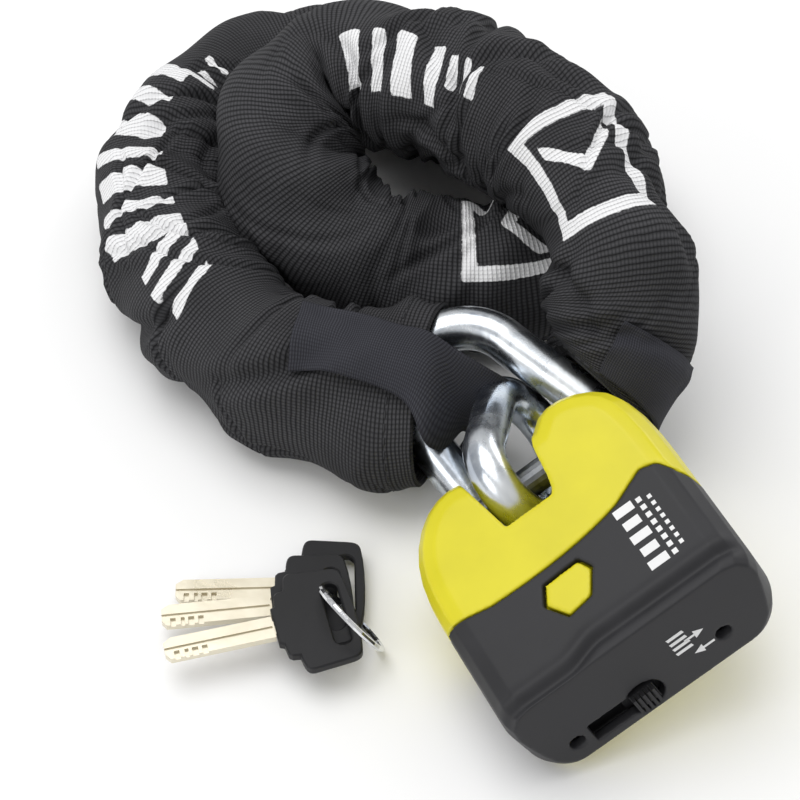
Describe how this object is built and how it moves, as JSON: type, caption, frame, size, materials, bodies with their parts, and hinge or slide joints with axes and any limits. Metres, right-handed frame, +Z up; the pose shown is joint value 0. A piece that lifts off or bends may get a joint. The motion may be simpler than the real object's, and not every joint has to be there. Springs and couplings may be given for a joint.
{
  "type": "chain lock",
  "caption": "Coiled steel chain in a woven sleeve, its large end ring noosed round the lock link held by a yellow and grey lock, with fanned keys on a split ring.",
  "frame": {"origin": "middle of the footprint of the whole object, on the ground", "axes": "+Z up, -Y towards the lock and the viewer, +X to the right as seen from the lock"},
  "size_m": [0.181, 0.2695, 0.0798],
  "materials": {
    "zinc_steel": "bright zinc plated, satin",
    "woven_fabric": "coarse basket weave, matt",
    "webbing": "fine hook and loop webbing, matt",
    "yellow_paint": "soft satin paint",
    "grey_plastic": "fine moulded grain, matt",
    "black_plastic": "satin moulded",
    "brass": "machined",
    "nickel_silver": "milled, warm tint",
    "ring_steel": "bright drawn wire",
    "dark_steel": "dark, satin"
  },
  "bodies": {
    "chain": {"sleeve": "woven_fabric", "chain_link_01": "zinc_steel", "chain_link_02": "zinc_steel", "chain_link_03": "zinc_steel", "chain_link_04": "zinc_steel", "chain_link_05": "zinc_steel", "chain_link_06": "zinc_steel", "chain_link_07": "zinc_steel", "chain_link_08": "zinc_steel", "chain_link_09": "zinc_steel", "chain_link_10": "zinc_steel", "chain_link_11": "zinc_steel", "chain_link_12": "zinc_steel", "chain_link_13": "zinc_steel", "chain_link_14": "zinc_steel", "chain_link_15": "zinc_steel", "chain_link_16": "zinc_steel", "chain_link_17": "zinc_steel", "chain_link_18": "zinc_steel", "chain_link_19": "zinc_steel", "chain_link_20": "zinc_steel", "lock_link": "zinc_steel", "end_ring": "zinc_steel", "strap_a": "webbing", "strap_b": "webbing"},
    "lock": {"lock_body": "yellow_paint", "lock_cover": "grey_plastic", "barrel_housing": "brass", "cover_screw_left": "dark_steel", "cover_screw_right": "dark_steel"},
    "dust_slider": {"dust_cover": "black_plastic"},
    "cylinder": {"key_barrel": "brass", "drive_pinion": "dark_steel"},
    "bolt": {"bolt_rack": "dark_steel", "locking_bolt": "dark_steel"},
    "key_bunch": {"split_ring": "ring_steel"},
    "key_1": {"key_1_head": "black_plastic", "key_1_blade": "nickel_silver"},
    "key_2": {"key_2_head": "black_plastic", "key_2_blade": "nickel_silver"},
    "key_3": {"key_3_head": "black_plastic", "key_3_blade": "nickel_silver"}
  },
  "joints": [
    {"name": "lock_swing", "type": "hinge", "parent": "chain", "child": "lock", "pos_m": [0.03112, -0.06521, 0.0314], "axis": [-0.8051, -0.3851, -0.4511], "range_deg": [0, 12]},
    {"name": "dust_cover_slide", "type": "slide", "parent": "lock", "child": "dust_slider", "axis": [-0.8051, -0.3851, -0.4511], "range_m": [0, 0.012]},
    {"name": "cylinder_turn", "type": "hinge", "parent": "lock", "child": "cylinder", "pos_m": [0.05095, -0.10733, 0.02176], "axis": [-0.4565, 0.8879, 0.0568], "range_deg": [0, 180]},
    {"name": "bolt_slide", "type": "slide", "parent": "lock", "child": "bolt", "axis": [0.8051, 0.3851, 0.4511], "range_m": [0, 0.017]},
    {"name": "keys_lift", "type": "slide", "parent": "chain", "child": "key_bunch", "axis": [0, 0, 1], "range_m": [0, 0.05]},
    {"name": "key_1_swing", "type": "hinge", "parent": "key_bunch", "child": "key_1", "pos_m": [-0.0152, -0.0835, 0.008], "axis": [0, 0, 1], "range_deg": [-6, 6]},
    {"name": "key_2_swing", "type": "hinge", "parent": "key_bunch", "child": "key_2", "pos_m": [-0.0177, -0.0828, 0.008], "axis": [0, 0, 1], "range_deg": [-6, 6]},
    {"name": "key_3_swing", "type": "hinge", "parent": "key_bunch", "child": "key_3", "pos_m": [-0.0195, -0.0831, 0.008], "axis": [0, 0, 1], "range_deg": [-6, 6]}
  ],
  "couplings": [
    {"joint": "bolt_slide", "follows": "cylinder_turn", "m_per_rad": 0.0054113}
  ]
}
